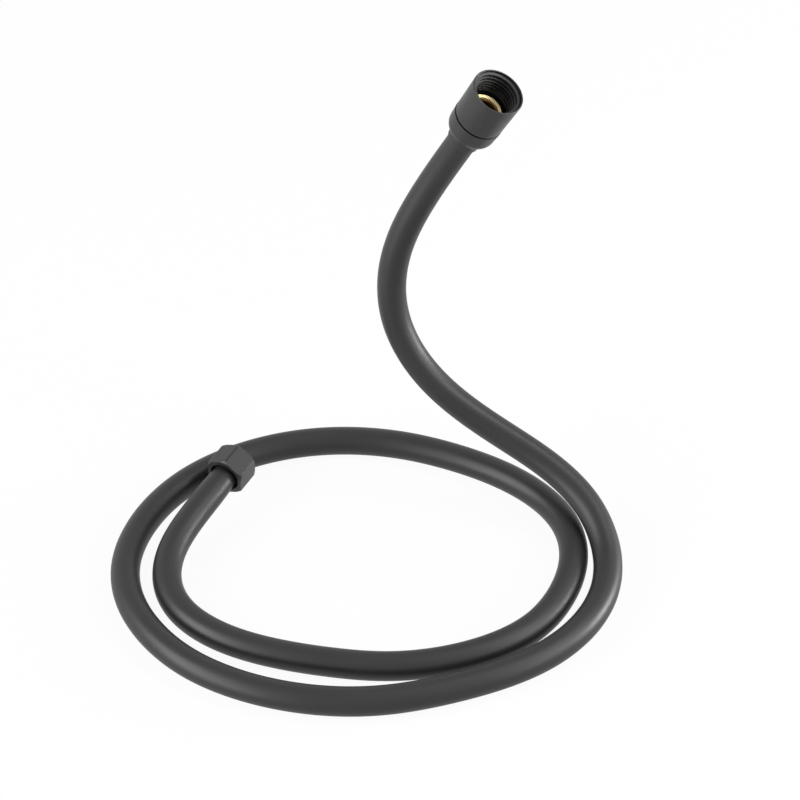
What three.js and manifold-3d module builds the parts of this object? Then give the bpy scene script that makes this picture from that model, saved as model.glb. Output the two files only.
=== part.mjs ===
// Shower hose: a smooth plastic hose with a round swivel nut at one end and a hexagon nut at the other.
// Millimetres, +Z up. The origin is on the floor, below the middle of the coil that the hose lies in.
import * as THREE from 'three';
import { NURBSCurve } from 'three/addons/curves/NURBSCurve.js';
import { mergeVertices } from 'three/addons/utils/BufferGeometryUtils.js';
import Module from 'manifold-3d';

const wasm = await Module();
wasm.setup();

// Driving dimensions

const CLEARANCE = 0.3;          // between pieces that touch or are pressed together

const HOSE_OD = 14;
const HOSE_BORE = 9;
const HOSE_STEPS = 80;

// Round nut, with the G 1/2 thread that a hand shower screws into
const G_THREAD_MAJOR = 20.955;
const G_THREAD_MINOR = 18.631;
const G_THREAD_PITCH = 1.814;
const G_THREAD_TURNS = 6;
const NUT_MOUTH_OD = 25;
const NUT_REAR_OD = 24;
const NUT_RIM_WALL = 1.15;      // width of the flat rim round the mouth
const NUT_LEAD_IN = 0.6;        // depth of the cone from the rim to the thread
const NUT_RELIEF_DEPTH = 3.6;   // smooth stretch behind the thread
const NUT_RELIEF = 0.28;        // how much wider its radius is than the thread's crests
const NUT_FLOOR = 5;
const NUT_EDGE = 0.4;           // rounding of the rim

// Swivel spindle inside the round nut
const SPINDLE_STEM_OD = 13.6;
const SPINDLE_BORE = 9;
const SPINDLE_FLANGE_OD = 16;
const SPINDLE_FLANGE = 1.7;
const SPINDLE_MOUTH_OD = 10.4;  // wide end of the cone that leads into the bore
const SPINDLE_MOUTH_DEPTH = 0.8;
const SEAL_SECTION = 1.3;
const CLIP_THICKNESS = 0.8;
const CLIP_WIDTH = 2.3;
const CLIP_OPENING = 50;        // degrees left open in the ring
const LAND = 0.7;               // metal left between two grooves

// Tail, glide ring, collar and crimp sleeve between the round nut and the hose
const TAIL_OD = 20;
const TAIL_FLOOR = 1.2;
const TAIL_BORE = 6;
const BARB_OD = 7.8;
const BARB_ROOT_OD = 7;
const BARB_PITCH = 3;
const BARB_COUNT = 4;
const GLIDE_RING = 1;
const COLLAR_WALL = 1.85;       // over the tail
const COLLAR_GROOVE = 0.6;      // dark line between the nut and the collar
const COLLAR_LENGTH = 11.5;
const COLLAR_TAPER = 0.4;       // how much smaller the collar's radius is where its shoulder starts
const COLLAR_SHOULDER = 5.4;    // radius of the rounded shoulder
const SLEEVE_WALL = 0.6;
const SLEEVE_LENGTH = 8;

// Hexagon nut, with an M15 x 1 thread
const M_THREAD_MAJOR = 15;
const M_THREAD_MINOR = 13.917;
const M_THREAD_PITCH = 1;
const M_THREAD_TURNS = 5;
const HEX_ACROSS_FLATS = 19;
const HEX_LENGTH = 13.3;
const HEX_CORNER = 2.4;           // rounding along the hexagon's corners
const HEX_CHAMFER = 0.6;        // round the edges of both end faces
const HEX_REAR_BORE = 15.6;       // clears the hose, which leaves a dark ring round it
const HEX_COUNTERBORE = 3.6;      // depth of the pocket that the hose's end stands in
const HEX_LIP = 1.3;
const HEX_LEAD_IN = 0.6;
const HEX_NECK_OD = 10.6;
const HEX_FLANGE = 1.2;
const HEX_BARB_COUNT = 3;
const WASHER = 1.3;
const WASHER_BORE = 9;

// Flat sides round a section
const ROUND = 32;
const ROUND_INSIDE = 24;
const HOSE_SIDES = 12;

// Where the hose lies. Both ends are straight, along the fittings' axes.

const HANDSET_END = new THREE.Vector3(48.6, 74.9, 209.2);
const HANDSET_AXIS = new THREE.Vector3(0.410, -0.251, 0.877).normalize();
const HANDSET_STRAIGHT = [0, 8.5, 25.5];   // distances of the first control points from that end
const HEX_END = new THREE.Vector3(-68.4, 56.0, 17.4);
const HEX_AXIS = new THREE.Vector3(0.498, 0.861, 0.104).normalize();
const HEX_STRAIGHT = [25.5, 8.5, 0];
const HEX_TURN = 6;             // degrees that the hexagon is turned about its axis

// Control points of a smooth cubic curve: the free end stands up, comes down over the coil and turns in
const COIL = [
  [27.6, 84.3, 165.8],
  [16.0, 85.0, 140.5], [10.5, 83.5, 114.0], [14.0, 78.5, 89.0], [27.5, 71.0, 67.5],
  [46.5, 63.5, 52.0], [68.5, 55.0, 40.5], [89.5, 45.5, 31.0], [108.5, 29.5, 20.5],
  [117.0, 5.5, 9.5], [114.0, -20.5, 7.0], [102.5, -44.0, 7.0], [84.5, -63.0, 7.0],
  [62.0, -76.0, 7.0], [38.0, -85.0, 7.0], [13.0, -92.0, 7.0], [-12.5, -93.5, 7.0],
  [-38.5, -89.5, 7.0], [-63.0, -80.5, 7.0], [-85.0, -66.5, 7.0], [-102.0, -47.0, 7.0],
  [-113.5, -24.0, 7.0], [-117.0, 1.5, 7.0], [-111.0, 27.5, 7.0], [-99.0, 50.5, 7.0],
  [-81.3, 69.5, 7.0], [-58.8, 83.2, 7.0], [-34.1, 91.4, 7.0], [-8.5, 93.5, 7.0],
  [17.0, 90.0, 7.0], [41.5, 81.0, 7.0], [65.0, 68.5, 7.0], [84.5, 52.0, 7.0],
  [98.0, 30.5, 7.0], [101.0, 4.5, 7.0], [93.5, -22.0, 7.0], [80.0, -44.0, 7.0],
  [59.0, -58.5, 7.0], [34.0, -67.5, 7.0], [8.5, -70.5, 7.0], [-17.0, -67.0, 7.0],
  [-42.0, -61.5, 7.0], [-66.5, -52.0, 7.0], [-87.5, -35.0, 7.0], [-97.0, -12.3, 7.7],
  [-93.9, 11.0, 10.8],
];

// Materials

const BLACK_PLASTIC = { color: 0x3c3c3c, roughness: 0.55, metalness: 0 };
const BLACK_METAL = { color: 0x3a3a3a, roughness: 0.5, metalness: 0.2 };
const BRASS = { color: 0xd2b26c, roughness: 0.25, metalness: 1 };
const STEEL = { color: 0xb4b6b8, roughness: 0.35, metalness: 1 };
const RUBBER = { color: 0x161616, roughness: 0.8, metalness: 0 };
const WHITE_PLASTIC = { color: 0xd8d6d0, roughness: 0.5, metalness: 0 };

function mesh(name, geometry, look) {
  const piece = new THREE.Mesh(geometry, new THREE.MeshStandardMaterial(look));
  piece.name = name;
  return piece;
}

// Shapes

// A turned piece about +Z, from an outline of [radius, height] points.
// The outline starts and ends on the axis, or it is closed on itself.
function turned(outline, sides = ROUND) {
  let area = 0;
  outline.forEach(([r, h], i) => {
    const [r2, h2] = outline[(i + 1) % outline.length];
    area += r * h2 - r2 * h;
  });
  const ring = area > 0 ? [...outline] : [...outline].reverse();
  if (outline[0][0] > 0) ring.push(ring[0]);
  const points = ring.map(([r, h]) => new THREE.Vector2(r, h));
  return new THREE.LatheGeometry(points, sides).rotateX(Math.PI / 2);
}

// Points of an arc in an outline, from one angle to another in degrees, with 0 pointing outwards
function arc(r, h, radius, from, to, steps = 4) {
  const points = [];
  for (let i = 0; i <= steps; i += 1) {
    const angle = THREE.MathUtils.degToRad(from + (to - from) * i / steps);
    points.push([r + radius * Math.cos(angle), h + radius * Math.sin(angle)]);
  }
  return points;
}

// An inside thread, drawn as rings one pitch apart, from its lower end upwards
function insideThread(minor, major, pitch, turns, start) {
  const points = [];
  for (let i = 0; i < turns; i += 1) {
    const h = start + i * pitch;
    points.push([major / 2, h], [minor / 2, h + pitch * 0.4], [minor / 2, h + pitch * 0.6]);
  }
  points.push([major / 2, start + turns * pitch]);
  return points;
}

// Barbs that grip the hose's bore, from their foot downwards
function barbs(count, start) {
  const points = [];
  for (let i = 0; i < count; i += 1) {
    const h = start - i * BARB_PITCH;
    points.push([BARB_ROOT_OD / 2, h], [BARB_OD / 2, h - BARB_PITCH * 0.1]);
    points.push([BARB_ROOT_OD / 2, h - BARB_PITCH]);
  }
  return points;
}

function circle(radius, sides = HOSE_SIDES) {
  const points = [];
  for (let i = 0; i < sides; i += 1) {
    const angle = 2 * Math.PI * i / sides;
    points.push(new THREE.Vector2(radius * Math.cos(angle), radius * Math.sin(angle)));
  }
  return points;
}

function toSolid(geometry) {
  const plain = geometry.clone();
  plain.deleteAttribute('normal');
  plain.deleteAttribute('uv');
  const merged = mergeVertices(plain, 1e-4);
  const index = merged.index.array;
  const kept = [];
  for (let i = 0; i < index.length; i += 3) {
    const [a, b, c] = [index[i], index[i + 1], index[i + 2]];
    if (a !== b && b !== c && c !== a) kept.push(a, b, c);
  }
  const vertProperties = new Float32Array(merged.attributes.position.array);
  return new wasm.Manifold(new wasm.Mesh({ numProp: 3, vertProperties, triVerts: new Uint32Array(kept) }));
}

function toGeometry(solid) {
  const out = solid.getMesh();
  const geometry = new THREE.BufferGeometry();
  geometry.setAttribute('position', new THREE.BufferAttribute(new Float32Array(out.vertProperties), 3));
  geometry.setIndex(new THREE.BufferAttribute(new Uint32Array(out.triVerts), 1));
  geometry.computeVertexNormals();
  return geometry;
}

// The hose

function alongAxis(end, axis, distances) {
  return distances.map((distance) => end.clone().addScaledVector(axis, -distance));
}

function hoseRoute() {
  const middle = COIL.map(([x, y, z]) => new THREE.Vector3(x, y, z));
  const all = [
    ...alongAxis(HANDSET_END, HANDSET_AXIS, HANDSET_STRAIGHT),
    ...middle,
    ...alongAxis(HEX_END, HEX_AXIS, HEX_STRAIGHT),
  ];
  const degree = 3;
  const spans = all.length - degree;
  const knots = [0, 0, 0];
  for (let i = 0; i <= spans; i += 1) knots.push(i);
  knots.push(spans, spans, spans);
  return new NURBSCurve(degree, knots, all.map((p) => new THREE.Vector4(p.x, p.y, p.z, 1)));
}

function hose() {
  const section = new THREE.Shape(circle(HOSE_OD / 2));
  section.holes.push(new THREE.Path(circle(HOSE_BORE / 2)));
  const tube = new THREE.ExtrudeGeometry(section, { steps: HOSE_STEPS, extrudePath: hoseRoute() });
  return mesh('hose', tube, BLACK_PLASTIC);
}

// Heights at the handset end, measured along its axis from the hose's cut end towards the mouth

const TAIL_BACK = CLEARANCE;
const SOCKET_FLOOR = TAIL_BACK + TAIL_FLOOR;
const STEM_END = SOCKET_FLOOR + CLEARANCE;
const CLIP_GROOVE = STEM_END + LAND;
const CLIP_GROOVE_TOP = CLIP_GROOVE + CLIP_THICKNESS + 2 * CLEARANCE;
const SEAL_GROOVE = CLIP_GROOVE_TOP + LAND;
const SEAL_GROOVE_TOP = SEAL_GROOVE + SEAL_SECTION + 2 * CLEARANCE;
const TAIL_FACE = SEAL_GROOVE_TOP + LAND;
const GLIDE_BACK = TAIL_FACE + CLEARANCE;
const NUT_BACK = GLIDE_BACK + GLIDE_RING + CLEARANCE;
const NUT_SEAT = NUT_BACK + NUT_FLOOR;
const FLANGE_BACK = NUT_SEAT + CLEARANCE;
const FLANGE_FACE = FLANGE_BACK + SPINDLE_FLANGE;
const NUT_THREAD_FOOT = NUT_SEAT + NUT_RELIEF_DEPTH;
const NUT_THREAD_TOP = NUT_THREAD_FOOT + G_THREAD_TURNS * G_THREAD_PITCH;
const NUT_MOUTH = NUT_THREAD_TOP + NUT_LEAD_IN;

// Radii that follow from the sizes above
const SOCKET_R = SPINDLE_STEM_OD / 2 + CLEARANCE;
const SEAL_FLOOR_R = SOCKET_R - SEAL_SECTION - 2 * CLEARANCE;
const CLIP_INNER_R = SPINDLE_STEM_OD / 2 - CLIP_WIDTH / 4;
const CLIP_OUTER_R = CLIP_INNER_R + CLIP_WIDTH;
const SLEEVE_INNER_R = HOSE_OD / 2 + CLEARANCE;
const SLEEVE_OUTER_R = SLEEVE_INNER_R + SLEEVE_WALL;
const COLLAR_INNER_R = TAIL_OD / 2 + CLEARANCE;

function handsetNut() {
  const wall = NUT_MOUTH_OD / 2;
  const relief = G_THREAD_MINOR / 2 + NUT_RELIEF;
  const hole = SPINDLE_STEM_OD / 2 + CLEARANCE;
  return mesh('handset_nut', turned([
    [hole, NUT_BACK],
    [NUT_REAR_OD / 2 - NUT_EDGE / 2, NUT_BACK],
    [NUT_REAR_OD / 2, NUT_BACK + NUT_EDGE / 2],
    ...arc(wall - NUT_EDGE, NUT_MOUTH - NUT_EDGE, NUT_EDGE, 0, 90, 3),
    [wall - NUT_RIM_WALL, NUT_MOUTH],
    ...insideThread(G_THREAD_MINOR, G_THREAD_MAJOR, G_THREAD_PITCH, G_THREAD_TURNS, NUT_THREAD_FOOT).reverse(),
    [relief, NUT_THREAD_FOOT],
    [relief, NUT_SEAT],
    [hole, NUT_SEAT],
  ]), BLACK_METAL);
}

function swivelSpindle() {
  const stem = SPINDLE_STEM_OD / 2;
  const clipFloor = CLIP_INNER_R - CLEARANCE;
  return mesh('swivel_spindle', turned([
    [SPINDLE_BORE / 2, STEM_END],
    [stem, STEM_END],
    [stem, CLIP_GROOVE],
    [clipFloor, CLIP_GROOVE],
    [clipFloor, CLIP_GROOVE_TOP],
    [stem, CLIP_GROOVE_TOP],
    [stem, SEAL_GROOVE],
    [SEAL_FLOOR_R, SEAL_GROOVE],
    [SEAL_FLOOR_R, SEAL_GROOVE_TOP],
    [stem, SEAL_GROOVE_TOP],
    [stem, FLANGE_BACK],
    [SPINDLE_FLANGE_OD / 2, FLANGE_BACK],
    ...arc(SPINDLE_FLANGE_OD / 2 - 0.3, FLANGE_FACE - 0.3, 0.3, 0, 90, 2),
    [SPINDLE_MOUTH_OD / 2, FLANGE_FACE],
    [SPINDLE_BORE / 2, FLANGE_FACE - SPINDLE_MOUTH_DEPTH],
  ], ROUND_INSIDE), BRASS);
}

function spindleSeal() {
  const height = (SEAL_GROOVE + SEAL_GROOVE_TOP) / 2;
  const ring = arc(SEAL_FLOOR_R + CLEARANCE + SEAL_SECTION / 2, height, SEAL_SECTION / 2, 0, 315, 7);
  return mesh('spindle_seal', turned(ring, ROUND_INSIDE), RUBBER);
}

function retainingClip() {
  const half = THREE.MathUtils.degToRad(CLIP_OPENING / 2);
  const outline = new THREE.Shape();
  outline.absarc(0, 0, CLIP_OUTER_R, half, 2 * Math.PI - half, false);
  outline.absarc(0, 0, CLIP_INNER_R, 2 * Math.PI - half, half, true);
  const ring = new THREE.ExtrudeGeometry(outline, {
    depth: CLIP_THICKNESS, bevelEnabled: false, curveSegments: 10,
  });
  return mesh('retaining_clip', ring.translate(0, 0, CLIP_GROOVE + CLEARANCE), STEEL);
}

function handsetTail() {
  const clipWall = CLIP_OUTER_R + CLEARANCE;
  const end = TAIL_BACK - BARB_COUNT * BARB_PITCH;
  return mesh('handset_tail', turned([
    [TAIL_BORE / 2, end],
    ...barbs(BARB_COUNT, TAIL_BACK - BARB_PITCH * 0.1).reverse(),
    [BARB_ROOT_OD / 2, TAIL_BACK],
    [TAIL_OD / 2, TAIL_BACK],
    [TAIL_OD / 2, TAIL_FACE],
    [SOCKET_R, TAIL_FACE],
    [SOCKET_R, CLIP_GROOVE_TOP],
    [clipWall, CLIP_GROOVE_TOP],
    [clipWall, CLIP_GROOVE],
    [SOCKET_R, CLIP_GROOVE],
    [SOCKET_R, SOCKET_FLOOR],
    [TAIL_BORE / 2, SOCKET_FLOOR],
  ], ROUND_INSIDE), BRASS);
}

function glideRing() {
  const inner = SPINDLE_STEM_OD / 2 + CLEARANCE;
  const outer = TAIL_OD / 2 - CLEARANCE / 2;
  return mesh('glide_ring', turned([
    [inner, GLIDE_BACK], [outer, GLIDE_BACK],
    [outer, GLIDE_BACK + GLIDE_RING], [inner, GLIDE_BACK + GLIDE_RING],
  ], ROUND_INSIDE), WHITE_PLASTIC);
}

// The collar covers the tail. Its shoulder curves in to the crimp sleeve.
function swivelCollar() {
  const front = NUT_BACK - COLLAR_GROOVE;
  const back = front - COLLAR_LENGTH;
  const outer = COLLAR_INNER_R + COLLAR_WALL;
  const hole = SLEEVE_OUTER_R + CLEARANCE;
  const shoulderR = outer - COLLAR_TAPER - COLLAR_SHOULDER;
  const endAngle = THREE.MathUtils.radToDeg(Math.acos((hole - shoulderR) / COLLAR_SHOULDER));
  const shoulderHeight = back + COLLAR_SHOULDER * Math.sin(THREE.MathUtils.degToRad(endAngle));
  return mesh('swivel_collar', turned([
    [COLLAR_INNER_R, front],
    [COLLAR_INNER_R, TAIL_BACK - CLEARANCE],
    [hole, TAIL_BACK - CLEARANCE],
    ...arc(shoulderR, shoulderHeight, COLLAR_SHOULDER, -endAngle, 0, 6),
    [outer, front - 0.2],
    [outer - 0.2, front],
  ]), BLACK_METAL);
}

function crimpSleeve() {
  const front = -CLEARANCE;
  const back = front - SLEEVE_LENGTH;
  return mesh('crimp_sleeve', turned([
    [SLEEVE_INNER_R, back],
    ...arc(SLEEVE_OUTER_R - 0.3, back + 0.3, 0.3, -90, 0, 2),
    [SLEEVE_OUTER_R, front],
    [SLEEVE_INNER_R, front],
  ]), BLACK_METAL);
}

// Heights at the hexagon end, measured along its axis from the hose's cut end towards the nut's mouth

const HEX_LIP_BACK = CLEARANCE;
const HEX_LIP_FACE = HEX_LIP_BACK + HEX_LIP;
const HEX_BACK = HEX_LIP_BACK - HEX_COUNTERBORE;
const HEX_MOUTH = HEX_BACK + HEX_LENGTH;
const HEX_FLANGE_BACK = HEX_LIP_FACE + CLEARANCE;
const HEX_FLANGE_FACE = HEX_FLANGE_BACK + HEX_FLANGE;
const WASHER_BACK = HEX_FLANGE_FACE + CLEARANCE;
const HEX_FLANGE_R = M_THREAD_MINOR / 2 - CLEARANCE;

// A hexagon with rounded corners, its first corner on +X
function hexagon() {
  const corner = HEX_ACROSS_FLATS / Math.sqrt(3) - HEX_CORNER / Math.cos(Math.PI / 6);
  const points = [];
  for (let i = 0; i < 6; i += 1) {
    const middle = i * Math.PI / 3;
    for (let k = -2; k <= 2; k += 1) {
      const angle = middle + k * Math.PI / 12;
      points.push(new THREE.Vector2(
        corner * Math.cos(middle) + HEX_CORNER * Math.cos(angle),
        corner * Math.sin(middle) + HEX_CORNER * Math.sin(angle),
      ));
    }
  }
  return new THREE.Shape(points);
}

function hexNut() {
  const bar = new THREE.ExtrudeGeometry(hexagon(), {
    depth: HEX_LENGTH - 2 * HEX_CHAMFER,
    bevelThickness: HEX_CHAMFER,
    bevelSize: HEX_CHAMFER,
    bevelOffset: -HEX_CHAMFER,
    bevelSegments: 1,
  });
  bar.translate(0, 0, HEX_BACK + HEX_CHAMFER);
  const threadFoot = HEX_MOUTH - HEX_LEAD_IN - M_THREAD_TURNS * M_THREAD_PITCH;
  const hollow = turned([
    [0, HEX_BACK - 1],
    [HEX_REAR_BORE / 2, HEX_BACK - 1],
    [HEX_REAR_BORE / 2, HEX_LIP_BACK],
    [HEX_NECK_OD / 2 + CLEARANCE, HEX_LIP_BACK],
    [HEX_NECK_OD / 2 + CLEARANCE, HEX_LIP_FACE],
    [M_THREAD_MINOR / 2, HEX_LIP_FACE],
    ...insideThread(M_THREAD_MINOR, M_THREAD_MAJOR, M_THREAD_PITCH, M_THREAD_TURNS, threadFoot),
    [M_THREAD_MAJOR / 2, HEX_MOUTH],
    [M_THREAD_MAJOR / 2, HEX_MOUTH + 1],
    [0, HEX_MOUTH + 1],
  ]);
  return mesh('hex_nut', toGeometry(toSolid(bar).subtract(toSolid(hollow))), BLACK_METAL);
}

function hexTail() {
  const end = TAIL_BACK - HEX_BARB_COUNT * BARB_PITCH;
  return mesh('hex_tail', turned([
    [TAIL_BORE / 2, end],
    ...barbs(HEX_BARB_COUNT, TAIL_BACK - BARB_PITCH * 0.1).reverse(),
    [BARB_ROOT_OD / 2, TAIL_BACK],
    [HEX_NECK_OD / 2, TAIL_BACK],
    [HEX_NECK_OD / 2, HEX_FLANGE_BACK],
    [HEX_FLANGE_R, HEX_FLANGE_BACK],
    [HEX_FLANGE_R, HEX_FLANGE_FACE],
    [TAIL_BORE / 2, HEX_FLANGE_FACE],
  ], ROUND_INSIDE), BRASS);
}

function hexWasher() {
  return mesh('hex_washer', turned([
    [WASHER_BORE / 2, WASHER_BACK], [HEX_FLANGE_R, WASHER_BACK],
    [HEX_FLANGE_R, WASHER_BACK + WASHER], [WASHER_BORE / 2, WASHER_BACK + WASHER],
  ], ROUND_INSIDE), RUBBER);
}

// A group with +Z along the fitting's axis and its origin at the hose's cut end
function fitting(end, axis, turn, pieces) {
  const group = new THREE.Group();
  group.position.copy(end);
  group.quaternion.setFromUnitVectors(new THREE.Vector3(0, 0, 1), axis);
  group.rotateZ(THREE.MathUtils.degToRad(turn));
  group.add(...pieces);
  return group;
}

const showerHose = new THREE.Group();
showerHose.add(
  hose(),
  fitting(HANDSET_END, HANDSET_AXIS, 0, [
    handsetNut(), swivelSpindle(), spindleSeal(), retainingClip(),
    handsetTail(), glideRing(), swivelCollar(), crimpSleeve(),
  ]),
  fitting(HEX_END, HEX_AXIS, HEX_TURN, [hexNut(), hexTail(), hexWasher()]),
);

export default showerHose;
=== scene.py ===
# %% [markdown]
# # A shower hose
#
# A shower hose carries warm water from the outlet in the wall to a hand shower. It is a long
# plastic tube with a metal nut at each end. Here it lies in a coil, and its stiff free end
# stands up, with the round nut for the hand shower at the top.
#
# The imported model comes first. It holds every solid piece at its real size and place. The
# scene keeps those places and makes each piece as fine as the real one.

# %% Load the imported model
import math

import bmesh
import bpy
from mathutils import Matrix, Vector


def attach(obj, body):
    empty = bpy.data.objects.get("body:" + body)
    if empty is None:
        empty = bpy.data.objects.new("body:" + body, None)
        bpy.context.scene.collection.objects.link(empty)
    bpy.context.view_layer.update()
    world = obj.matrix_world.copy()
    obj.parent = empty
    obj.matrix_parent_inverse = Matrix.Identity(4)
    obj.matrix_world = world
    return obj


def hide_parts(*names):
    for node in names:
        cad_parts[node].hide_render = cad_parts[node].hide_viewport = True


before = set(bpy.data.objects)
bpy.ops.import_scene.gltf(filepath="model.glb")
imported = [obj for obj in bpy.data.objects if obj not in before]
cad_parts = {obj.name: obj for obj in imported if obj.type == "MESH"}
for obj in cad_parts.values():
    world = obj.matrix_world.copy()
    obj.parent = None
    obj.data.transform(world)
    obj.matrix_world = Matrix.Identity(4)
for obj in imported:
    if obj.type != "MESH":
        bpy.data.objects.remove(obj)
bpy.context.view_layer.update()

print("nodes:", ", ".join(sorted(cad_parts)))

# %% [markdown]
# ## The camera
#
# The picture is taken from well back with a long lens, so the coil is hardly narrower behind
# than in front. The camera looks down by about 40 degrees. A long lens from far away keeps
# the true proportions of a long object better than a short lens from near by, which would
# swell the front of the coil.

# %% Place the camera
AIM = Vector((0.01595, 0.12436, 0.0072))
CAMERA = Vector((0.01595, -1.21814, 1.1139))

lens = bpy.data.cameras.new("camera")
lens.lens = 154.35
lens.sensor_width = 36
lens.clip_start = 0.1
lens.clip_end = 20
camera = bpy.data.objects.new("camera", lens)
bpy.context.scene.collection.objects.link(camera)
camera.location = CAMERA
camera.rotation_euler = (AIM - CAMERA).to_track_quat("-Z", "Y").to_euler()
bpy.context.scene.camera = camera
print(f"camera {(AIM - CAMERA).length:.3f} m from the coil")

# %% [markdown]
# ## Where the hose lies
#
# The hose is a plain tube of one thickness from end to end, so a curve with a round section
# is the natural tool: only its centre line has to be drawn. A curve led by few, evenly
# spaced control points bends as smoothly as the real hose, which a chain of straight tubes
# can't do. Both ends run straight along the axes of their fittings for about two diameters.
# The last point is drawn in a little, so that the hose clears the nut's rear hole all round.

# %% The hose's route
MM = 0.001
HOSE_OD = 14
DRAWN_IN = 0.84
STRAIGHT = (0, 8.5, 25.5)
HANDSET_END = Vector((48.6, 74.9, 209.2))
HANDSET_AXIS = Vector((0.410, -0.251, 0.877)).normalized()
HEX_END = Vector((-68.4, 56.0, 17.4))
HEX_AXIS = Vector((0.498, 0.861, 0.104)).normalized()

COIL = [
    (27.6, 84.3, 165.8),
    (16.0, 85.0, 140.5), (10.5, 83.5, 114.0), (14.0, 78.5, 89.0), (27.5, 71.0, 67.5),
    (46.5, 63.5, 52.0), (68.5, 55.0, 40.5), (89.5, 45.5, 31.0), (108.5, 29.5, 20.5),
    (117.0, 5.5, 9.5), (114.0, -20.5, 7.0), (102.5, -44.0, 7.0), (84.5, -63.0, 7.0),
    (62.0, -76.0, 7.0), (38.0, -85.0, 7.0), (13.0, -92.0, 7.0), (-12.5, -93.5, 7.0),
    (-38.5, -89.5, 7.0), (-63.0, -80.5, 7.0), (-85.0, -66.5, 7.0), (-102.0, -47.0, 7.0),
    (-113.5, -24.0, 7.0), (-117.0, 1.5, 7.0), (-111.0, 27.5, 7.0), (-99.0, 50.5, 7.0),
    (-81.3, 69.5, 7.0), (-58.8, 83.2, 7.0), (-34.1, 91.4, 7.0), (-8.5, 93.5, 7.0),
    (17.0, 90.0, 7.0), (41.5, 81.0, 7.0), (65.0, 68.5, 7.0), (84.5, 52.0, 7.0),
    (98.0, 30.5, 7.0), (101.0, 4.5, 7.0), (93.5, -22.0, 7.0), (80.0, -44.0, 7.0),
    (59.0, -58.5, 7.0), (34.0, -67.5, 7.0), (8.5, -70.5, 7.0), (-17.0, -67.0, 7.0),
    (-42.0, -61.5, 7.0), (-66.5, -52.0, 7.0), (-87.5, -35.0, 7.0), (-97.0, -12.3, 7.7),
    (-93.9, 11.0, 10.8),
]
route = [HANDSET_END - HANDSET_AXIS * back for back in STRAIGHT]
route += [Vector(point) for point in COIL]
route += [HEX_END - HEX_AXIS * back for back in reversed(STRAIGHT)]

line = bpy.data.curves.new("hose_tube", "CURVE")
line.dimensions = "3D"
line.bevel_depth = HOSE_OD / 2 * MM
line.bevel_resolution = 14
line.resolution_u = 12
line.use_fill_caps = True
spline = line.splines.new("NURBS")
spline.points.add(len(route) - 1)
for point, at in zip(spline.points, route):
    point.co = (*(at * MM), 1)
spline.points[-1].radius = DRAWN_IN
spline.order_u = 4
spline.use_endpoint_u = True
spline.use_smooth = True
hose = bpy.data.objects.new("hose_tube", line)
bpy.context.scene.collection.objects.link(hose)

# %% [markdown]
# ## Colours and material nodes
#
# Colours are written as hex values, the way a paint chart or a web page gives them, and one
# function turns them into the linear values that the renderer works in. One more function
# adds a node with its settings and links, which keeps each material short enough to read.
#
# No real finish is even. In each one here a noise pattern shifts the shade and the gloss
# together, because dirt, wear and a thinner film change both. Noise values crowd round a
# half, so the gloss takes its range from the middle part, 0.3 to 0.7.

# %% Helpers for materials
def linear(hex_colour):
    channels = [int(hex_colour[i:i + 2], 16) / 255 for i in (1, 3, 5)]
    return [c / 12.92 if c <= 0.04045 else ((c + 0.055) / 1.055) ** 2.4 for c in channels] + [1]


def add_node(tree, kind, inputs=None, **settings):
    node = tree.nodes.new(kind)
    for name, value in settings.items():
        setattr(node, name, value)
    for socket, value in (inputs or {}).items():
        if isinstance(value, bpy.types.NodeSocket):
            tree.links.new(value, node.inputs[socket])
        else:
            node.inputs[socket].default_value = value
    return node


def new_material(name):
    material = bpy.data.materials.new(name)
    material.use_nodes = True
    tree = material.node_tree
    tree.nodes.clear()
    output = add_node(tree, "ShaderNodeOutputMaterial")
    return material, tree, output.inputs["Surface"]


def vary(tree, pattern, colours, roughness):
    shade = add_node(tree, "ShaderNodeMix",
                     {"Factor": pattern, "A": linear(colours[0]), "B": linear(colours[1])},
                     data_type="RGBA")
    gloss = add_node(tree, "ShaderNodeMapRange",
                     {"Value": pattern, "From Min": 0.3, "From Max": 0.7,
                      "To Min": roughness[0], "To Max": roughness[1]})
    return shade.outputs["Result"], gloss.outputs["Result"]


print(f"#808080 is {linear('#808080')[0]:.3f} in linear light")

# %% [markdown]
# ## Soft PVC
#
# The hose is plasticised PVC, pushed through a round die while warm. That leaves a smooth,
# slightly waxy skin: the shade is a very dark grey more than a true black, and the lights
# show in it as broad soft streaks. A fine grain from the mixed-in filler breaks up the
# streaks. The grain of the real skin is about 0.05 mm, too fine to show, so it is drawn at
# 0.5 mm and kept very flat. Handling adds faint cloudy patches, 30 mm across, that change
# the gloss more than the colour.

# %% Make the hose's PVC
def soft_pvc():
    material, tree, surface = new_material("extruded_soft_pvc")
    place = add_node(tree, "ShaderNodeTexCoord").outputs["Object"]
    cloud = add_node(tree, "ShaderNodeTexNoise",
                     {"Vector": place, "Scale": 1 / 0.030, "Detail": 2.0, "Roughness": 0.5})
    grain = add_node(tree, "ShaderNodeTexNoise",
                     {"Vector": place, "Scale": 1 / 0.0005, "Detail": 1.0, "Roughness": 0.5})
    shade, gloss = vary(tree, cloud.outputs["Fac"], ("#1c1c1c", "#222222"), (0.40, 0.48))
    bump = add_node(tree, "ShaderNodeBump",
                    {"Height": grain.outputs["Fac"], "Strength": 0.12, "Distance": 0.0001})
    skin = add_node(tree, "ShaderNodeBsdfPrincipled",
                    {"Base Color": shade, "Roughness": gloss,
                     "Normal": bump.outputs["Normal"], "IOR": 1.5, "Specular IOR Level": 0.4})
    tree.links.new(skin.outputs["BSDF"], surface)
    return material


pvc = soft_pvc()
hose.data.materials.append(pvc)
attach(hose, "hose_body")
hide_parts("hose")
print("material", pvc.name)

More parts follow.
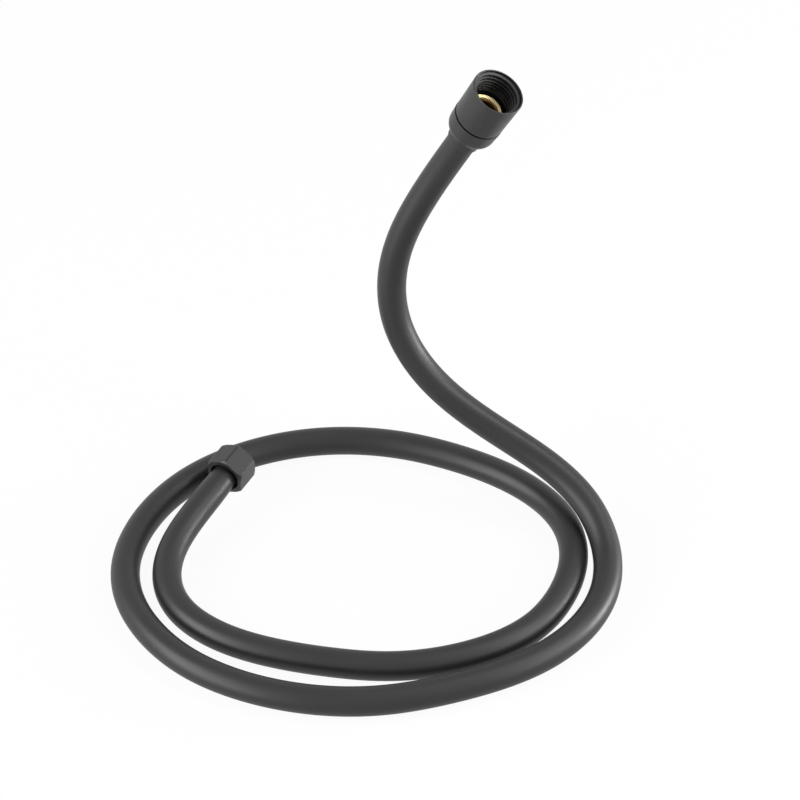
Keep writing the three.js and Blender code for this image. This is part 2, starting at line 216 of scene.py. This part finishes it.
# %% [markdown]
# ## Matt black coating
#
# The nuts and the collar are brass, turned on a lathe and coated matt black. The coating is
# sprayed and baked, so it is a thin even film with a fine sandy texture. The sand of the
# real film is about 0.1 mm, drawn at 0.4 mm so that it shows. The film's thickness drifts
# over 6 mm or so, which changes the gloss more than the shade.

# %% Make the matt black coating
def matt_coating():
    material, tree, surface = new_material("matt_black_coating")
    place = add_node(tree, "ShaderNodeTexCoord").outputs["Object"]
    sand = add_node(tree, "ShaderNodeTexNoise",
                    {"Vector": place, "Scale": 1 / 0.0004, "Detail": 2.0, "Roughness": 0.6})
    patch = add_node(tree, "ShaderNodeTexNoise",
                     {"Vector": place, "Scale": 1 / 0.006, "Detail": 2.0, "Roughness": 0.5})
    shade, gloss = vary(tree, patch.outputs["Fac"], ("#202020", "#262626"), (0.36, 0.44))
    bump = add_node(tree, "ShaderNodeBump",
                    {"Height": sand.outputs["Fac"], "Strength": 0.15, "Distance": 0.0001})
    skin = add_node(tree, "ShaderNodeBsdfPrincipled",
                    {"Base Color": shade, "Roughness": gloss,
                     "Normal": bump.outputs["Normal"], "IOR": 1.5, "Specular IOR Level": 0.4})
    tree.links.new(skin.outputs["BSDF"], surface)
    return material


coating = matt_coating()
print("material", coating.name)

# %% [markdown]
# ## Painted shade inside the nut
#
# The inside of the nut, down between the ridges of its thread, is painted a deeper and
# duller black than the coating. This painted shade makes the grooves look darker than the
# ridges. The recipe is that of the coating, with less shine and no sand.

# %% Make the painted shade black
def make_painted_shade_black():
    material, tree, surface = new_material("painted_shade_inner_black")
    place = add_node(tree, "ShaderNodeTexCoord").outputs["Object"]
    patch = add_node(tree, "ShaderNodeTexNoise",
                     {"Vector": place, "Scale": 1 / 0.004, "Detail": 2.0, "Roughness": 0.5})
    # painted shade: a deeper, duller black than the coating
    shade, gloss = vary(tree, patch.outputs["Fac"], ("#0c0c0c", "#121212"), (0.50, 0.60))
    skin = add_node(tree, "ShaderNodeBsdfPrincipled",
                    {"Base Color": shade, "Roughness": gloss,
                     "IOR": 1.5, "Specular IOR Level": 0.12})
    tree.links.new(skin.outputs["BSDF"], surface)
    return material


inner_painted_shade = make_painted_shade_black()
print("material", inner_painted_shade.name)

# %% [markdown]
# ## Turned brass
#
# The spindle and the tails are left as they come off the lathe. The tool leaves rings about
# 0.1 mm apart, drawn at 0.35 mm so that they show. They run round the piece's own axis, so
# a Mapping node first turns the pattern to that axis: each fitting gets its own copy. The
# water turns the brass brown where it flows, so the bore has a darker copy.
#
# The Wave node repeats every 0.31 units at a scale of 1, and its scale follows from that.

# %% Make turned brass for a fitting's axis
WAVE_REPEAT = 0.31
LATHE_RINGS = 0.00035
BRIGHT = ("#f0dfb0", "#dcc690")
BROWN = ("#553a1d", "#3a2612")


def place_of(end, axis, turn=0.0):
    upright = Vector((0, 0, 1)).rotation_difference(axis).to_matrix().to_4x4()
    spin = Matrix.Rotation(math.radians(turn), 4, "Z")
    return Matrix.Translation(end * MM) @ upright @ spin @ Matrix.Scale(MM, 4)


def turned_brass(name, place, colours):
    material, tree, surface = new_material(name)
    where = add_node(tree, "ShaderNodeTexCoord").outputs["Object"]
    local = add_node(tree, "ShaderNodeMapping",
                     {"Vector": where, "Location": place.translation,
                      "Rotation": place.to_euler()},
                     vector_type="TEXTURE")
    rings = add_node(tree, "ShaderNodeTexWave",
                     {"Vector": local.outputs["Vector"], "Scale": WAVE_REPEAT / LATHE_RINGS,
                      "Distortion": 0.4, "Detail": 1.0},
                     wave_type="RINGS", rings_direction="Z")
    tarnish = add_node(tree, "ShaderNodeTexNoise",
                       {"Vector": where, "Scale": 1 / 0.003, "Detail": 3.0, "Roughness": 0.6})
    shade, gloss = vary(tree, tarnish.outputs["Fac"], colours, (0.42, 0.52))
    bump = add_node(tree, "ShaderNodeBump",
                    {"Height": rings.outputs["Fac"], "Strength": 0.2, "Distance": 0.00005})
    metal = add_node(tree, "ShaderNodeBsdfPrincipled",
                     {"Base Color": shade, "Roughness": gloss,
                      "Normal": bump.outputs["Normal"], "Metallic": 1.0})
    tree.links.new(metal.outputs["BSDF"], surface)
    return material


handset_place = place_of(HANDSET_END, HANDSET_AXIS)
hex_place = place_of(HEX_END, HEX_AXIS, turn=6)
handset_brass = turned_brass("turned_brass_handset_end", handset_place, BRIGHT)
brown_brass = turned_brass("tarnished_brass_bore", handset_place, BROWN)
hex_brass = turned_brass("turned_brass_hexagon_end", hex_place, BRIGHT)
print("materials", handset_brass.name, brown_brass.name, hex_brass.name)

# %% [markdown]
# ## Rubber, spring steel and slippery plastic
#
# Three small finishes are left, each on pieces that mostly hide inside the fittings: the
# moulded rubber of the washer and the O-ring, the stamped spring steel of the snap ring, and
# the white acetal of the glide ring. They share one recipe, a speckle that changes shade and
# gloss together, with different numbers.

# %% Make the small finishes
def speckled(name, colours, rough, grain_mm, metallic=0.0):
    material, tree, surface = new_material(name)
    where = add_node(tree, "ShaderNodeTexCoord").outputs["Object"]
    speckle = add_node(tree, "ShaderNodeTexNoise",
                       {"Vector": where, "Scale": 1 / (grain_mm * MM), "Detail": 2.0})
    shade, gloss = vary(tree, speckle.outputs["Fac"], colours, (rough - 0.06, rough + 0.06))
    bump = add_node(tree, "ShaderNodeBump",
                    {"Height": speckle.outputs["Fac"], "Strength": 0.1, "Distance": 0.0001})
    skin = add_node(tree, "ShaderNodeBsdfPrincipled",
                    {"Base Color": shade, "Roughness": gloss,
                     "Normal": bump.outputs["Normal"], "Metallic": metallic})
    tree.links.new(skin.outputs["BSDF"], surface)
    return material


rubber = speckled("moulded_rubber", ("#141414", "#1c1c1b"), 0.75, 0.5)
steel = speckled("stamped_spring_steel", ("#a9abad", "#c2c4c6"), 0.34, 0.6, metallic=1.0)
acetal = speckled("white_acetal", ("#d6d4cd", "#e2e0da"), 0.42, 1.0)
print("materials", rubber.name, steel.name, acetal.name)

# %% [markdown]
# ## How the fittings are made
#
# Nearly every metal piece of the hose is turned on a lathe. Spin does the same in Blender:
# a flat outline goes once round an axis. The outlines are in millimetres, as distance from
# the axis and height along it, and are then placed on their fitting. No real edge is
# perfectly sharp, so each sharp edge gets a narrow bevel that catches the light.

# %% Helpers for turned pieces
def spun(outline, steps=96):
    shape = bmesh.new()
    ring = [shape.verts.new((r, 0, h)) for r, h in outline]
    edges = [shape.edges.new((a, b)) for a, b in zip(ring, ring[1:] + ring[:1])]
    bmesh.ops.spin(shape, geom=ring + edges, axis=(0, 0, 1), cent=(0, 0, 0),
                   angle=math.tau, steps=steps, use_merge=True)
    bmesh.ops.remove_doubles(shape, verts=shape.verts, dist=1e-4)
    bmesh.ops.recalc_face_normals(shape, faces=shape.faces)
    return shape


def ease_edges(shape, width, sharper_than=35, sharpest=181, segments=2):
    sharp = [e for e in shape.edges
             if len(e.link_faces) == 2
             and sharper_than < math.degrees(e.calc_face_angle()) < sharpest]
    bmesh.ops.bevel(shape, geom=sharp, offset=width, affect="EDGES", segments=segments,
                    profile=0.5, material=-1, clamp_overlap=True)


def add_piece(name, shape, place, materials, body, slot, *nodes):
    bmesh.ops.transform(shape, matrix=place, verts=shape.verts)
    for face in shape.faces:
        face.smooth = True
    for edge in shape.edges:
        if len(edge.link_faces) == 2:
            edge.smooth = math.degrees(edge.calc_face_angle()) < 40
    mesh = bpy.data.meshes.new(name)
    shape.to_mesh(mesh)
    shape.free()
    for material in materials:
        mesh.materials.append(material)
    piece = bpy.data.objects.new(name, mesh)
    bpy.context.scene.collection.objects.link(piece)
    even = piece.modifiers.new("even_shading", "WEIGHTED_NORMAL")
    even.keep_sharp = True
    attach(piece, body)
    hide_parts(*nodes)
    print(name, len(mesh.polygons), "faces")
    return piece


def arc(r, h, radius, start, end, steps=8):
    points = []
    for i in range(steps + 1):
        angle = math.radians(start + (end - start) * i / steps)
        points.append((r + radius * math.cos(angle), h + radius * math.sin(angle)))
    return points


print("ready to turn, bevel and place pieces")

# %% [markdown]
# ## The round nut
#
# The nut that screws onto the hand shower narrows slightly towards the back, with a thin rim
# round its mouth. Inside, a pipe thread (G 1/2, 1.81 mm from crest to crest) runs from the
# rim to a smooth groove where the cutting tool runs out. Its last turns, at the mouth, lie
# on a long, slim cone that leads the hand shower in. A low ring on the nut's back reaches
# into the collar behind it, so that no light or dirt passes between the two.
#
# The thread is a spin that climbs as it turns: a small blunt ridge whose foot is buried in
# the wall. That is far lighter than cutting a thread out of the wall, and looks the same.
# Both ends of the ridge sink into the wall, as a real thread runs out.

# %% Helpers for threads
BURIED = 0.04
RIDGE_FOOT = 0.38
RIDGE_CREST = 0.15
FADE_TURNS = 0.3


def thread_ridge(major, minor, pitch, start, turns, lead_in=math.inf, slope=0.0, steps=72):
    shape = bmesh.new()
    buried = major + BURIED
    half = pitch * RIDGE_FOOT
    crest = pitch * RIDGE_CREST
    outline = [(buried, -half), (minor, -crest), (minor, crest), (buried, half)]
    ring = [shape.verts.new((r, 0, start + h)) for r, h in outline]
    face = shape.faces.new(ring)
    count = round(steps * turns)
    bmesh.ops.spin(shape, geom=[face], axis=(0, 0, 1), cent=(0, 0, 0),
                   dvec=(0, 0, pitch / steps), angle=math.tau * turns, steps=count)
    shape.verts.ensure_lookup_table()
    fade = steps * FADE_TURNS
    for i, vert in enumerate(shape.verts):
        turn = i // len(outline)
        depth = min(1, turn / fade, (count - turn) / fade)
        r = math.hypot(vert.co.x, vert.co.y)
        if r < major:
            hidden = buried - BURIED / 2
            wanted = hidden - (hidden - minor) * depth
            vert.co.x *= wanted / r
            vert.co.y *= wanted / r
            r = wanted
        flared = 1 + max(0, vert.co.z - lead_in) * slope / r
        vert.co.x *= flared
        vert.co.y *= flared
    bmesh.ops.recalc_face_normals(shape, faces=shape.faces)
    return shape


def join(shape, other):
    spare = bpy.data.meshes.new("spare")
    other.to_mesh(spare)
    other.free()
    shape.from_mesh(spare)
    bpy.data.meshes.remove(spare)


# faces inside a radius and above a height: painted shade in the nut, tarnish in the spindle
def mark_painted_shade_and_tarnish(shape, within, above):
    for face in shape.faces:
        middle = face.calc_center_median()
        chosen = math.hypot(middle.x, middle.y) < within and middle.z > above
        face.material_index = 1 if chosen else 0


print("ready to wind threads")

# %% [markdown]
# ### Putting the nut together
#
# Heights are counted along the fitting from the hose's cut end. The wall, the ridge and the
# ring are three closed shapes in one mesh. The inside of the wall and the ring get the painted
# shade, and the ridge the coating, so the grooves are painted darker than the lighter crests.

# %% Make the round nut
NUT_BACK = 9.0
NUT_SEAT = 14.0
THREAD_FOOT = 17.6
NUT_MOUTH = 29.08
NUT_BORE_R = 7.1
NUT_BACK_R = 12.0
NUT_MOUTH_R = 12.5
G_MAJOR = 20.955 / 2
G_CREST = 9.55
G_PITCH = 1.814
G_TURNS = 5.8
LEAD_IN = 4.6
LEAD_IN_SLOPE = 0.27
COVER_INNER_R = 10.35
COVER_OUTER_R = 10.95
COVER_END = 7.9

wall_r = G_MAJOR + BURIED / 2
nut = spun([
    (NUT_BORE_R, NUT_BACK), (NUT_BACK_R, NUT_BACK),
    (NUT_MOUTH_R, NUT_MOUTH), (wall_r + LEAD_IN * LEAD_IN_SLOPE, NUT_MOUTH),
    (wall_r, NUT_MOUTH - LEAD_IN), (wall_r, THREAD_FOOT),
    (G_CREST, THREAD_FOOT), (G_CREST, NUT_SEAT), (NUT_BORE_R, NUT_SEAT),
], steps=128)
ease_edges(nut, 0.4, segments=3)
# the inside of the wall, from the thread's foot to the mouth, is painted shade
mark_painted_shade_and_tarnish(nut, within=11.8, above=THREAD_FOOT + 0.1)
join(nut, thread_ridge(G_MAJOR, G_CREST, G_PITCH, THREAD_FOOT + 0.2, G_TURNS,
                       NUT_MOUTH - LEAD_IN, LEAD_IN_SLOPE))
cover = spun([(COVER_INNER_R, COVER_END), (COVER_OUTER_R, COVER_END),
              (COVER_OUTER_R, NUT_BACK + 0.3), (COVER_INNER_R, NUT_BACK + 0.3)], steps=128)
ease_edges(cover, 0.1)
# the ring between the nut and the collar is painted shade all over
mark_painted_shade_and_tarnish(cover, within=NUT_BACK_R, above=0)
join(nut, cover)
add_piece("handset_nut_shell", nut, handset_place, [coating, inner_painted_shade],
          "handset_nut_body", "black_nut", "handset_nut")

# %% [markdown]
# ## The swivel spindle
#
# The bright ring at the bottom of the nut is the flange of a brass spindle. The hand
# shower's washer presses on it, and the nut turns round it. Its stem goes back through the
# nut into the tail, with one groove for the O-ring and one for the snap ring. It is one
# turned piece, so it is one spin. The flange is slightly dished, which lights it unevenly,
# and a stepped cone, brown from the water, leads into the bore.

# %% Make the spindle
BORE_R = 4.5
STEM_R = 6.8
CLIP_FLOOR_R = 5.93
SEAL_FLOOR_R = 5.2
FLANGE_R = 8.0
FLANGE_FACE = 16.0

spindle = spun([
    (BORE_R, 1.8), (STEM_R, 1.8), (STEM_R, 2.5), (CLIP_FLOOR_R, 2.5), (CLIP_FLOOR_R, 3.9),
    (STEM_R, 3.9), (STEM_R, 4.6), (SEAL_FLOOR_R, 4.6), (SEAL_FLOOR_R, 6.7), (STEM_R, 6.7),
    (STEM_R, 14.3), (FLANGE_R, 14.3), (FLANGE_R, FLANGE_FACE), (7.8, FLANGE_FACE),
    (6.5, 15.65), (6.3, 15.0), (5.5, 14.8), (BORE_R, 13.2),
])
ease_edges(spindle, 0.12)
mark_painted_shade_and_tarnish(spindle, within=6.3, above=7)
add_piece("spindle_turned", spindle, handset_place, [handset_brass, brown_brass],
          "spindle_body", "brass", "swivel_spindle")

# %% [markdown]
# ## The collar and the crimp sleeve
#
# Behind the nut a collar covers the tail. It is a little slimmer than the nut's mouth,
# tapers a hair's breadth and rounds over in a wide shoulder towards the hose. The shoulder
# is part of a circle in the outline, which the spin turns into one smooth surface. A recess
# in the collar's front takes the ring on the nut's back. The thin sleeve behind it squeezes
# the hose onto the barbs of the tail.

# %% Make the collar and the sleeve
COLLAR_FRONT = 8.4
COLLAR_BACK = -3.1
COLLAR_R = 12.15
COLLAR_TAPER = 0.4
COLLAR_INNER_R = 10.3
RECESS_R = 11.25
RECESS_FLOOR = 7.6
SLEEVE_FRONT = -0.3
SLEEVE_BACK = -8.3
SLEEVE_R = 7.9
SLEEVE_INNER_R = 7.3
SHOULDER = 5.4

mouth_r = SLEEVE_R + 0.3
shoulder_r = COLLAR_R - COLLAR_TAPER - SHOULDER
end_angle = math.degrees(math.acos((mouth_r - shoulder_r) / SHOULDER))
shoulder_h = COLLAR_BACK + SHOULDER * math.sin(math.radians(end_angle))
collar = spun([
    (RECESS_R, COLLAR_FRONT), (RECESS_R, RECESS_FLOOR), (COLLAR_INNER_R, RECESS_FLOOR),
    (COLLAR_INNER_R, 0.0), (mouth_r, 0.0),
    *arc(shoulder_r, shoulder_h, SHOULDER, -end_angle, 0, steps=12),
    (COLLAR_R, COLLAR_FRONT),
], steps=128)
ease_edges(collar, 0.15)
add_piece("collar_shell", collar, handset_place, [coating],
          "hose_body", "black_nut", "swivel_collar")

sleeve = spun([(SLEEVE_INNER_R, SLEEVE_BACK), (SLEEVE_R, SLEEVE_BACK),
               (SLEEVE_R, SLEEVE_FRONT), (SLEEVE_INNER_R, SLEEVE_FRONT)])
ease_edges(sleeve, 0.2, segments=3)
add_piece("crimp_sleeve_ring", sleeve, handset_place, [coating],
          "hose_body", "black_nut", "crimp_sleeve")

# %% [markdown]
# ## The hexagon nut
#
# A hexagon nut starts as a turned blank too. Its ends are chamfered, and then six flats are
# milled along it. The same two steps work here: a spin, and six straight cuts. Each cut ends
# in a curved line where the flat meets the chamfer, which a plain six-sided prism would
# miss. The corners keep a narrow strip of the turned blank. The thread inside is M15 x 1,
# and an inner lip behind it pulls on the tail.

# %% Helper for milled flats
def mill_flats(shape, across, count=6):
    for i in range(count):
        angle = math.radians(30 + 360 / count * i)
        out = Vector((math.cos(angle), math.sin(angle), 0))
        cut = bmesh.ops.bisect_plane(
            shape, geom=shape.verts[:] + shape.edges[:] + shape.faces[:], dist=1e-5,
            plane_co=out * across / 2, plane_no=out, clear_outer=True)
        rim = [e for e in cut["geom_cut"] if isinstance(e, bmesh.types.BMEdge)]
        bmesh.ops.contextual_create(shape, geom=rim)


print("ready to mill flats")

# %% Make the hexagon nut
HEX_BACK = -3.3
HEX_MOUTH = 10.0
HEX_ACROSS_FLATS = 19
HEX_CORNER_R = 10.7
HEX_FACE_R = 9.8
HEX_CHAMFER = 0.8
REAR_BORE_R = 7.8
RELIEF_R = 7.2
LIP_R = 5.6
LIP_BACK = 0.3
LIP_FRONT = 1.6
M_MAJOR = 7.5
M_MINOR = 13.917 / 2
M_PITCH = 1.0
M_START = 4.8
M_TURNS = 4.8

wall_r = M_MAJOR + BURIED / 2
hexagon = spun([
    (REAR_BORE_R, HEX_BACK), (HEX_FACE_R, HEX_BACK),
    (HEX_CORNER_R, HEX_BACK + HEX_CHAMFER), (HEX_CORNER_R, HEX_MOUTH - HEX_CHAMFER),
    (HEX_FACE_R, HEX_MOUTH), (M_MAJOR + 0.35, HEX_MOUTH),
    (wall_r, HEX_MOUTH - 0.4), (wall_r, M_START - 0.4), (RELIEF_R, M_START - 0.9),
    (RELIEF_R, LIP_FRONT), (LIP_R, LIP_FRONT), (LIP_R, LIP_BACK), (REAR_BORE_R, LIP_BACK),
], steps=144)
mill_flats(hexagon, HEX_ACROSS_FLATS)
ease_edges(hexagon, 0.6, sharper_than=18, sharpest=45, segments=4)
ease_edges(hexagon, 0.3, sharper_than=60)
join(hexagon, thread_ridge(M_MAJOR, M_MINOR, M_PITCH, M_START, M_TURNS))
hexagon_nut = add_piece("hexagon_nut_shell", hexagon, hex_place, [coating],
                        "hex_nut_body", "black_nut", "hex_nut")

# %% [markdown]
# ## The tail and washer in the hexagon nut
#
# A flanged brass tail is pushed into the hose, and its barbs grip the bore. The nut's inner
# lip pulls on the flange, and a flat rubber washer in front of it makes the joint tight.
# Both are turned shapes again. The washer's edges are rounder, because it is moulded.

# %% Make the tail and the washer
BARB_PITCH = 3.0
TAIL_BORE_R = 3.0
TAIL_STEM_R = 3.5
TAIL_BARB_R = 3.9
TAIL_NECK_R = 5.3
TAIL_FLANGE_R = 6.65
TAIL_FLANGE_BACK = 1.9
TAIL_FACE = 3.1
WASHER_BORE_R = 4.5
WASHER_BACK = 3.4
WASHER_FACE = 4.7


def barbs(count, start):
    points = []
    for i in range(count):
        h = start - i * BARB_PITCH
        points += [(TAIL_STEM_R, h), (TAIL_BARB_R, h - BARB_PITCH * 0.1),
                   (TAIL_STEM_R, h - BARB_PITCH)]
    return points


tail = spun([
    (TAIL_BORE_R, -8.7), *reversed(barbs(3, 0.0)), (TAIL_STEM_R, LIP_BACK),
    (TAIL_NECK_R, LIP_BACK), (TAIL_NECK_R, TAIL_FLANGE_BACK),
    (TAIL_FLANGE_R, TAIL_FLANGE_BACK), (TAIL_FLANGE_R, TAIL_FACE), (TAIL_BORE_R, TAIL_FACE),
])
ease_edges(tail, 0.08)
hexagon_tail = add_piece("hexagon_tail_turned", tail, hex_place, [hex_brass],
                         "hose_body", "brass", "hex_tail")

ring = spun([(WASHER_BORE_R, WASHER_BACK), (TAIL_FLANGE_R, WASHER_BACK),
             (TAIL_FLANGE_R, WASHER_FACE), (WASHER_BORE_R, WASHER_FACE)])
ease_edges(ring, 0.25, segments=3)
hexagon_washer = add_piece("hexagon_washer_ring", ring, hex_place, [rubber],
                           "hose_body", "black_rubber", "hex_washer")

# %% [markdown]
# ## The hidden pieces
#
# The tail, O-ring, snap ring and glide ring at the handset end are covered by the collar and
# the nut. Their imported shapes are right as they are, so they stay and only get their finish.

# %% Give the hidden pieces their finish
for name, finish in (("handset_tail", handset_brass), ("spindle_seal", rubber),
                     ("retaining_clip", steel), ("glide_ring", acetal)):
    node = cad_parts[name]
    node.data.materials.clear()
    node.data.materials.append(finish)
print("finished", "handset_tail, spindle_seal, retaining_clip, glide_ring")

# %% [markdown]
# ## The hose
#
# The hose is one length, with its hexagon end as the last point of its curve.

print("declared", hose.name)

# %% [markdown]
# ## The floor
#
# Floor and room are white to the eye and in reflections, but not in the light that they
# give. The Light Path node tells which kind of ray asks. A ray from the eye, from a mirror
# or through glass sees almost plain white in the floor. A small matt share stays, so the
# hose keeps a soft shadow where it rests.

# %% Make the floor
FLOOR_WHITE = 0.94
FLOOR_SIZE = 6.0


def seen_directly(tree):
    ray = add_node(tree, "ShaderNodeLightPath")
    mirrored = add_node(tree, "ShaderNodeMath",
                        {0: ray.outputs["Is Glossy Ray"], 1: ray.outputs["Is Transmission Ray"]},
                        operation="MAXIMUM")
    either = add_node(tree, "ShaderNodeMath",
                      {0: ray.outputs["Is Camera Ray"], 1: mirrored.outputs[0]},
                      operation="MAXIMUM")
    return either.outputs[0]


def pale_floor():
    material, tree, surface = new_material("pale_floor")
    share = add_node(tree, "ShaderNodeMath", {0: seen_directly(tree), 1: FLOOR_WHITE},
                     operation="MULTIPLY")
    matt = add_node(tree, "ShaderNodeBsdfDiffuse", {"Color": linear("#f0f0f0")})
    white = add_node(tree, "ShaderNodeEmission", {"Color": (1, 1, 1, 1), "Strength": 1.0})
    mix = add_node(tree, "ShaderNodeMixShader",
                   {"Fac": share.outputs[0], 1: matt.outputs[0], 2: white.outputs[0]})
    tree.links.new(mix.outputs[0], surface)
    return material


ground = bmesh.new()
bmesh.ops.create_grid(ground, x_segments=1, y_segments=1, size=FLOOR_SIZE)
ground_mesh = bpy.data.meshes.new("floor")
ground.to_mesh(ground_mesh)
ground.free()
ground_mesh.materials.append(pale_floor())
floor = bpy.data.objects.new("floor", ground_mesh)
bpy.context.scene.collection.objects.link(floor)
print(f"floor made, {2 * FLOOR_SIZE:.0f} m wide")

# %% [markdown]
# ## The light
#
# A dark object needs broad lights: their reflections draw its shape. A large soft lamp from
# the left gives the long streaks along the tube. A long narrow one from the right draws a
# thinner streak on the other side, and a small low one catches the right rims. The pale room
# fills in the rest, weakly, so that the black stays dark.

# %% Make the lights
ROOM_LIGHT = 0.22


def soft_lamp(name, at, towards, size, watts, roll=0):
    lamp = bpy.data.lights.new(name, "AREA")
    lamp.shape = "RECTANGLE"
    lamp.size, lamp.size_y = size
    lamp.energy = watts
    holder = bpy.data.objects.new(name, lamp)
    bpy.context.scene.collection.objects.link(holder)
    holder.location = at
    aimed = (Vector(towards) - Vector(at)).to_track_quat("-Z", "Y").to_matrix().to_4x4()
    holder.rotation_euler = (aimed @ Matrix.Rotation(math.radians(roll), 4, "Z")).to_euler()
    return holder


soft_lamp("lamp_left", (-1.35, -0.62, 0.56), (0, 0, 0.05), (0.9, 2.0), 38, roll=37)
soft_lamp("lamp_right", (1.12, -0.22, 0.98), (0, 0, 0.1), (0.30, 2.1), 16, roll=-37)
soft_lamp("lamp_rim", (1.38, 0.28, 0.24), (0, 0, 0.05), (0.5, 0.4), 18)

world = bpy.data.worlds.new("room")
bpy.context.scene.world = world
world.use_nodes = True
world.node_tree.nodes.clear()
sky = add_node(world.node_tree, "ShaderNodeOutputWorld")
bright = add_node(world.node_tree, "ShaderNodeMapRange",
                  {"Value": seen_directly(world.node_tree), "To Min": ROOM_LIGHT, "To Max": 1.0})
room = add_node(world.node_tree, "ShaderNodeBackground",
                {"Color": (1, 1, 1, 1), "Strength": bright.outputs["Result"]})
world.node_tree.links.new(room.outputs[0], sky.inputs["Surface"])
bpy.context.scene.view_settings.view_transform = "Standard"
print("three lamps and a pale room")
